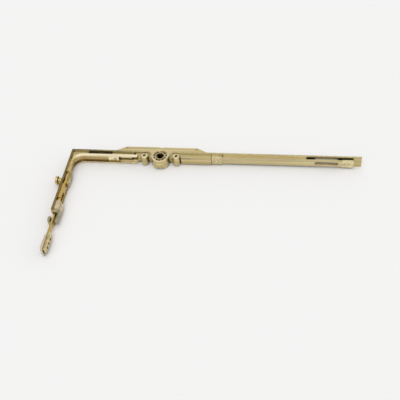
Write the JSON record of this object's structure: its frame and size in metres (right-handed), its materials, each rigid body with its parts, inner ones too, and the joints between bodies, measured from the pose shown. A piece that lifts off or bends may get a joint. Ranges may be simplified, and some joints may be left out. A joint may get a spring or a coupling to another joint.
{
  "type": "window espagnolette",
  "caption": "Cranked window espagnolette: a handle-driven gear moves a rod behind a long faceplate and, by a spring band round the corner, a short bar with a mushroom cam.",
  "frame": {"origin": "on the spindle nut's axis, at mid thickness of the gear case", "axes": "+X along the long faceplate away from the corner, +Y out through the long faceplate, +Z towards the window handle"},
  "size_m": [0.3955, 0.1817, 0.016],
  "materials": {
    "sheet": "yellow-chromated zinc on folded and flat steel strip, satin",
    "bar": "yellow-chromated zinc on drawn flat steel bar, satin",
    "casting": null,
    "turned": "yellow-chromated turned and sintered steel",
    "spring": "yellow-chromated rolled spring steel, darker",
    "rivet": "yellow-chromated rivet steel",
    "bare_casting": null,
    "bare_sheet": "zinc-plated steel, grey silver"
  },
  "bodies": {
    "frame": {"faceplate_long": "sheet", "faceplate_short": "sheet", "corner_gusset": "casting", "gusset_rivets": "rivet", "guide_channel": "sheet", "short_channel": "sheet", "channel_rivets": "rivet", "case_base": "casting", "case_cover": "casting", "case_rivets": "rivet", "rod_guide": "casting", "rod_guide_rivets": "rivet", "glide_strip": "bar", "glide_strip_rivets": "rivet", "corner_band_outer": "spring", "corner_band_inner": "spring", "end_guide": "bare_casting"},
    "nut": {"spindle_nut": "turned"},
    "drive": {"rack": "bar", "rack_rivets": "rivet", "drive_rod": "bar", "rod_end_block": "casting", "rod_end_rivets": "rivet", "link_bar": "bar", "band_slider": "casting", "slider_rivet": "rivet"},
    "short_drive": {"short_bar": "bar", "band_rivets": "rivet", "cam_carrier": "casting", "carrier_rivets": "rivet", "end_fork": "casting", "end_plate": "bare_sheet", "fork_rivets": "rivet"},
    "cam": {"mushroom_cam": "turned", "cam_clip": "rivet"}
  },
  "joints": [
    {"name": "rod_slide", "type": "slide", "parent": "frame", "child": "drive", "axis": [1, 0, 0], "range_m": [-0.01272, 0.01272], "deforming": ["corner_band_outer", "corner_band_inner"]},
    {"name": "short_slide", "type": "slide", "parent": "frame", "child": "short_drive", "axis": [0, 1, 0], "range_m": [-0.01273, 0.01273]},
    {"name": "nut_turn", "type": "hinge", "parent": "frame", "child": "nut", "pos_m": [0, 0, 0], "axis": [0, 0, 1], "range_deg": [-90, 90]},
    {"name": "cam_turn", "type": "hinge", "parent": "short_drive", "child": "cam", "pos_m": [-0.1227, -0.0446, 0], "axis": [-1, 0, 0], "continuous": true}
  ],
  "couplings": [
    {"joint": "short_slide", "follows": "rod_slide", "ratio": 1},
    {"joint": "nut_turn", "follows": "rod_slide", "rad_per_m": -123.46}
  ]
}
